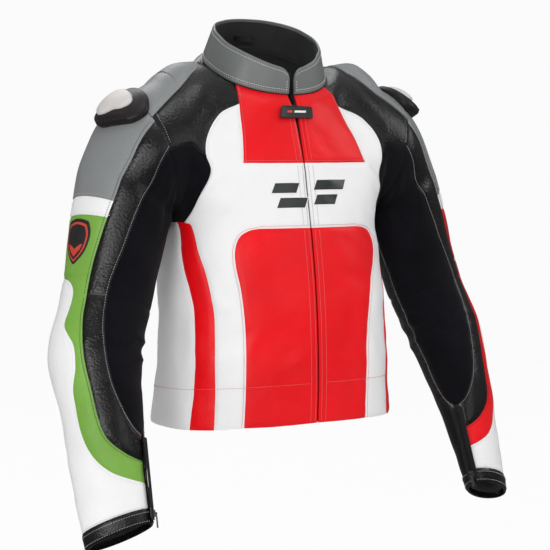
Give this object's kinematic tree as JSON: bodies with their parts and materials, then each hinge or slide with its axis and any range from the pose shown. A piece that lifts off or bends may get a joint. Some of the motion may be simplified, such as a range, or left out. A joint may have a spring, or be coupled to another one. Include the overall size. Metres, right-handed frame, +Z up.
{
  "type": "leather riding jacket",
  "caption": "Short leather riding jacket with a stand collar, coloured panels, shoulder cups, stretch inner sleeves, front zip and cuff zips; sleeves swing at shoulder and elbow.",
  "frame": {"origin": "centre of the neck opening at the base of the collar", "axes": "+Z up along the wearer, -Y out of the front zip, +X towards the wearer's left"},
  "size_m": [0.7246, 0.3072, 0.7319],
  "materials": {
    "white_leather": "smooth with fine grain",
    "red_leather": "smooth with fine grain",
    "green_leather": "smooth with fine grain",
    "black_leather": "pebbled grain, slight gloss",
    "grey_leather": "smooth with fine grain",
    "collar_leather": "smooth with fine grain",
    "stretch_cloth": "matt knit",
    "lining_cloth": "mesh",
    "cup_plastic": "satin",
    "cup_surround": "satin moulded",
    "zip_tape": "woven",
    "zip_metal": "black",
    "badge_rubber": "moulded",
    "foam": "perforated foam"
  },
  "bodies": {
    "torso": {"front_panel_right": "white_leather", "front_panel_left": "white_leather", "front_yoke_right": "red_leather", "front_yoke_left": "red_leather", "belly_panel_right": "red_leather", "belly_panel_left": "red_leather", "side_stripes": "red_leather", "side_panel_right": "white_leather", "side_panel_left": "white_leather", "shoulder_panel_right": "black_leather", "shoulder_panel_left": "black_leather", "underarm_gusset_right": "stretch_cloth", "underarm_gusset_left": "stretch_cloth", "shoulder_patch_right": "grey_leather", "shoulder_patch_left": "grey_leather", "shoulder_cup_base_right": "cup_surround", "shoulder_cup_base_left": "cup_surround", "shoulder_cup_right": "cup_plastic", "shoulder_cup_left": "cup_plastic", "back_yoke": "black_leather", "back_panel": "red_leather", "back_lower_panel": "white_leather", "collar": "collar_leather", "collar_lining": "lining_cloth", "front_zip": "zip_tape", "body_lining": "lining_cloth", "back_protector": "foam", "hanger_loop": "zip_tape", "waist_zip": "zip_tape"},
    "front_slider": {"zip_slider": "zip_metal"},
    "front_pull": {"zip_pull": "zip_metal", "neck_badge": "badge_rubber"},
    "upper_sleeve_right": {"sleeve_head_right": "grey_leather", "arm_panel_right": "green_leather", "arm_strip_right": "black_leather", "arm_stretch_right": "stretch_cloth", "arm_back_right": "black_leather"},
    "forearm_right": {"forearm_panel_right": "white_leather", "forearm_band_right": "green_leather", "forearm_stretch_right": "stretch_cloth", "forearm_back_right": "black_leather", "elbow_gusset_right": "stretch_cloth", "cuff_right": "black_leather", "cuff_zip_right": "zip_tape"},
    "cuff_slider_right": {"cuff_slider_right": "zip_metal"},
    "cuff_pull_right": {"cuff_pull_right": "zip_metal"},
    "upper_sleeve_left": {"sleeve_head_left": "grey_leather", "arm_panel_left": "red_leather", "arm_strip_left": "black_leather", "arm_stretch_left": "stretch_cloth", "arm_back_left": "black_leather"},
    "forearm_left": {"forearm_panel_left": "white_leather", "forearm_band_left": "red_leather", "forearm_stretch_left": "stretch_cloth", "forearm_back_left": "black_leather", "elbow_gusset_left": "stretch_cloth", "cuff_left": "black_leather", "cuff_zip_left": "zip_tape"},
    "cuff_slider_left": {"cuff_slider_left": "zip_metal"},
    "cuff_pull_left": {"cuff_pull_left": "zip_metal"}
  },
  "joints": [
    {"name": "front_zip", "type": "hinge", "parent": "torso", "child": "front_slider", "pos_m": [0, 0.89, -0.43], "axis": [1, 0, 0], "range_deg": [0, 24]},
    {"name": "front_pull_swing", "type": "hinge", "parent": "front_slider", "child": "front_pull", "pos_m": [0, -0.09002, -0.04481], "axis": [-1, 0, 0], "range_deg": [0, 110]},
    {"name": "shoulder_right", "type": "hinge", "parent": "torso", "child": "upper_sleeve_right", "pos_m": [-0.184, 0, -0.114], "axis": [-1, 0, 0], "range_deg": [-20, 35]},
    {"name": "elbow_right", "type": "hinge", "parent": "upper_sleeve_right", "child": "forearm_right", "pos_m": [-0.298, -0.048, -0.391], "axis": [-1, 0, 0], "range_deg": [-14, 38]},
    {"name": "cuff_zip_right_slide", "type": "slide", "parent": "forearm_right", "child": "cuff_slider_right", "axis": [0.0555, 0.3272, 0.9433], "range_m": [0, 0.094]},
    {"name": "cuff_pull_right_swing", "type": "hinge", "parent": "cuff_slider_right", "child": "cuff_pull_right", "pos_m": [-0.264, -0.17, -0.5979], "axis": [-0.5876, -0.7532, 0.2958], "range_deg": [0, 150]},
    {"name": "shoulder_left", "type": "hinge", "parent": "torso", "child": "upper_sleeve_left", "pos_m": [0.184, 0, -0.114], "axis": [-1, 0, 0], "range_deg": [-20, 35]},
    {"name": "elbow_left", "type": "hinge", "parent": "upper_sleeve_left", "child": "forearm_left", "pos_m": [0.298, -0.048, -0.391], "axis": [-1, 0, 0], "range_deg": [-14, 38]},
    {"name": "cuff_zip_left_slide", "type": "slide", "parent": "forearm_left", "child": "cuff_slider_left", "axis": [-0.0555, 0.3272, 0.9433], "range_m": [0, 0.094]},
    {"name": "cuff_pull_left_swing", "type": "hinge", "parent": "cuff_slider_left", "child": "cuff_pull_left", "pos_m": [0.264, -0.17, -0.5979], "axis": [-0.5876, 0.7532, -0.2958], "range_deg": [0, 150]}
  ]
}
